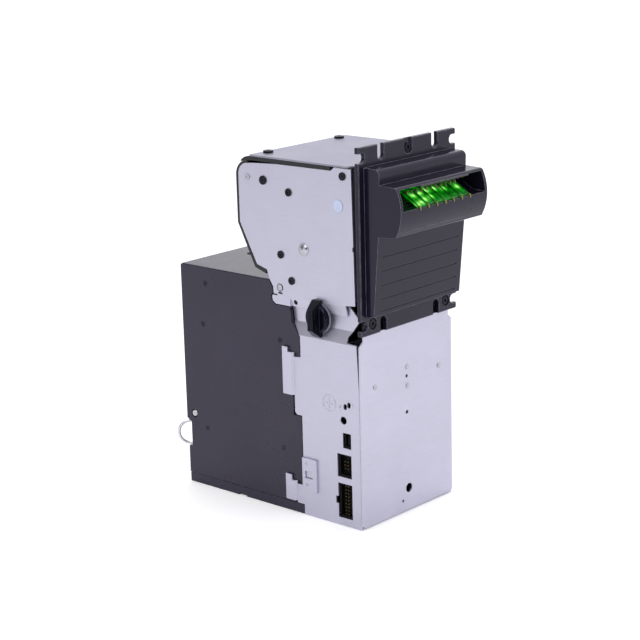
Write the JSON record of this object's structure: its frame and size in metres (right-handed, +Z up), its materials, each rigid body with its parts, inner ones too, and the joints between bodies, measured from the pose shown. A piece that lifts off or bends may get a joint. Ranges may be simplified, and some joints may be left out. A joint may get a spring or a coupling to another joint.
{
  "type": "bill validator",
  "caption": "Bill validator: a moulded note-entry bezel and hinged-lid reader head that slides onto a sheet-metal stacker chassis with a removable lockable cash box.",
  "frame": {"origin": "centre of the flat underside of the chassis's base plate, the face it rests on", "axes": "+Z up along the tall side of the machine, -Y towards the side where notes go in, +X to the right of someone facing that side, so the lock knob is on the -X side"},
  "size_m": [0.1128, 0.213, 0.2682],
  "materials": {
    "zinc_plate": "satin zinc-plated sheet",
    "bright_fastener": "bright plated steel",
    "black_screw": "black oxide",
    "dark_box_paint": "dark satin coating on sheet",
    "box_rivet": "dark coated rivet",
    "black_plastic": "moulded, fine grain",
    "bezel_plastic": "moulded, semi-gloss",
    "knob_plastic": "moulded, semi-gloss",
    "green_light_plate": "translucent green, lit from below",
    "white_bush": "pale bearing plastic",
    "gear_plastic": "natural acetal",
    "shaft_steel": "ground steel",
    "roller_rubber": "soft black rubber",
    "belt_rubber": "ribbed black belt",
    "motor_can": "drawn steel can",
    "circuit_board": "green solder mask",
    "black_board": "black solder mask",
    "knob_collar": "light grey washer",
    "connector_plastic": "moulded black nylon",
    "gold_pin": "gold-flashed pin",
    "polished_ring": "polished wire ring"
  },
  "bodies": {
    "chassis": {"base_plate": "zinc_plate", "front_plate": "zinc_plate", "chassis_side_left": "zinc_plate", "chassis_side_right": "zinc_plate", "latch_plates": "zinc_plate", "chassis_rivets": "bright_fastener", "stacker_frame": "black_plastic", "stacker_bracket": "zinc_plate", "stacker_motor": "motor_can", "note_belts": "belt_rubber", "interface_board": "black_board", "connector_headers": "connector_plastic", "header_pins": "gold_pin"},
    "knob": {"lock_knob": "knob_plastic", "knob_washer": "knob_collar"},
    "stack_pinion": {"stacker_pinion": "gear_plastic"},
    "stack_gear": {"stacker_gear": "gear_plastic"},
    "pusher": {"pusher_plate": "black_plastic", "pusher_rods": "shaft_steel"},
    "chassis_transfer": {"transfer_gear": "gear_plastic"},
    "upper_belt_drive": {"upper_belt_shaft": "shaft_steel"},
    "lower_belt_drive": {"lower_belt_shaft": "shaft_steel"},
    "head": {"head_side_left": "zinc_plate", "head_side_right": "zinc_plate", "inner_frame": "black_plastic", "rear_shell": "black_plastic", "head_screws": "black_screw", "head_rivets": "bright_fastener", "shaft_bushes": "white_bush", "lid_hinge_pin": "bright_fastener", "head_motor": "motor_can", "drive_belts": "belt_rubber", "sensor_board": "circuit_board", "bezel": "bezel_plastic", "bezel_screws": "black_screw", "bezel_bracket": "black_screw", "runway": "green_light_plate", "led_board": "circuit_board"},
    "head_pinion": {"motor_pinion": "gear_plastic"},
    "head_idler": {"idler_gear": "gear_plastic"},
    "drum": {"drum_shaft": "shaft_steel", "drum_rollers": "roller_rubber"},
    "entry": {"entry_rollers": "roller_rubber"},
    "head_transfer": {"transfer_shaft": "shaft_steel"},
    "lid": {"top_cover": "zinc_plate", "upper_guide": "black_plastic", "cover_screws": "black_screw"},
    "pressure": {"pressure_rollers": "roller_rubber"},
    "cashbox": {"cashbox_shell": "dark_box_paint", "cashbox_tray": "dark_box_paint", "cashbox_rivets": "box_rivet", "spring_stop": "zinc_plate", "latch_guides": "black_plastic", "pressure_spring": "shaft_steel"},
    "door": {"cashbox_door": "dark_box_paint"},
    "stack_plate": {"pressure_plate": "dark_box_paint"},
    "release": {"release_slider": "shaft_steel"},
    "latch_left": {"latch_pin_left": "shaft_steel"},
    "latch_right": {"latch_pin_right": "shaft_steel"},
    "ring": {"pull_ring": "polished_ring"}
  },
  "joints": [
    {"name": "knob_turn", "type": "hinge", "parent": "chassis", "child": "knob", "pos_m": [-0.0505, 0.009, 0.1472], "axis": [-1, 0, 0], "range_deg": [0, 90]},
    {"name": "head_slide", "type": "slide", "parent": "chassis", "child": "head", "axis": [0, -1, 0], "range_m": [0, 0.12]},
    {"name": "lid_hinge", "type": "hinge", "parent": "head", "child": "lid", "pos_m": [0, 0.0729, 0.2388], "axis": [-1, 0, 0], "range_deg": [0, 70]},
    {"name": "pressure_spin", "type": "hinge", "parent": "lid", "child": "pressure", "pos_m": [0, -0.0104, 0.2429], "axis": [1, 0, 0], "continuous": true},
    {"name": "drum_spin", "type": "hinge", "parent": "head", "child": "drum", "pos_m": [0, 0.055, 0.214], "axis": [1, 0, 0], "continuous": true},
    {"name": "idler_spin", "type": "hinge", "parent": "head", "child": "head_idler", "pos_m": [0.0408, 0.0278, 0.214], "axis": [1, 0, 0], "continuous": true},
    {"name": "head_pinion_spin", "type": "hinge", "parent": "head", "child": "head_pinion", "pos_m": [0.03, 0.015, 0.214], "axis": [1, 0, 0], "continuous": true},
    {"name": "entry_spin", "type": "hinge", "parent": "head", "child": "entry", "pos_m": [0, -0.0104, 0.2272], "axis": [1, 0, 0], "continuous": true},
    {"name": "head_transfer_spin", "type": "hinge", "parent": "head", "child": "head_transfer", "pos_m": [-0.04, -0.0022, 0.158], "axis": [1, 0, 0], "continuous": true},
    {"name": "chassis_transfer_spin", "type": "hinge", "parent": "chassis", "child": "chassis_transfer", "pos_m": [-0.0443, 0.017, 0.158], "axis": [1, 0, 0], "continuous": true},
    {"name": "upper_belt_spin", "type": "hinge", "parent": "chassis", "child": "upper_belt_drive", "pos_m": [0, 0.015, 0.13891], "axis": [1, 0, 0], "continuous": true},
    {"name": "lower_belt_spin", "type": "hinge", "parent": "chassis", "child": "lower_belt_drive", "pos_m": [0, 0.015, 0.018], "axis": [1, 0, 0], "continuous": true},
    {"name": "stack_gear_turn", "type": "hinge", "parent": "chassis", "child": "stack_gear", "pos_m": [0, 0.003, 0.08], "axis": [-1, 0, 0], "range_deg": [0, 124.3]},
    {"name": "stack_pinion_turn", "type": "hinge", "parent": "chassis", "child": "stack_pinion", "pos_m": [0, 0.003, 0.0616], "axis": [-1, 0, 0], "range_deg": [-448, 0]},
    {"name": "pusher_slide", "type": "slide", "parent": "chassis", "child": "pusher", "axis": [0, 1, 0], "range_m": [0, 0.013]},
    {"name": "cashbox_slide", "type": "slide", "parent": "chassis", "child": "cashbox", "axis": [0, 1, 0], "range_m": [0, 0.12]},
    {"name": "door_hinge", "type": "hinge", "parent": "cashbox", "child": "door", "pos_m": [0, 0.14, 0.1623], "axis": [1, 0, 0], "range_deg": [0, 80]},
    {"name": "stack_plate_slide", "type": "slide", "parent": "cashbox", "child": "stack_plate", "axis": [0, 1, 0], "range_m": [0, 0.06], "deforming": ["pressure_spring"]},
    {"name": "release_slide", "type": "slide", "parent": "cashbox", "child": "release", "axis": [0, 1, 0], "range_m": [0, 0.004]},
    {"name": "latch_left_slide", "type": "slide", "parent": "cashbox", "child": "latch_left", "axis": [1, 0, 0], "range_m": [0, 0.0024]},
    {"name": "latch_right_slide", "type": "slide", "parent": "cashbox", "child": "latch_right", "axis": [-1, 0, 0], "range_m": [0, 0.0024]},
    {"name": "ring_swing", "type": "hinge", "parent": "release", "child": "ring", "pos_m": [-0.043, 0.1366, 0.0382], "axis": [0, 0, 1], "range_deg": [-35, 4]}
  ],
  "couplings": [
    {"joint": "idler_spin", "follows": "drum_spin", "ratio": -2.4},
    {"joint": "head_pinion_spin", "follows": "drum_spin", "ratio": 4},
    {"joint": "entry_spin", "follows": "drum_spin", "ratio": 2.2},
    {"joint": "head_transfer_spin", "follows": "drum_spin", "ratio": 1},
    {"joint": "chassis_transfer_spin", "follows": "drum_spin", "ratio": -1},
    {"joint": "upper_belt_spin", "follows": "drum_spin", "ratio": 1},
    {"joint": "lower_belt_spin", "follows": "drum_spin", "ratio": 1},
    {"joint": "stack_gear_turn", "follows": "pusher_slide", "rad_per_m": 166.67},
    {"joint": "stack_pinion_turn", "follows": "pusher_slide", "rad_per_m": -600},
    {"joint": "latch_left_slide", "follows": "release_slide", "ratio": 0.6},
    {"joint": "latch_right_slide", "follows": "release_slide", "ratio": 0.6}
  ]
}
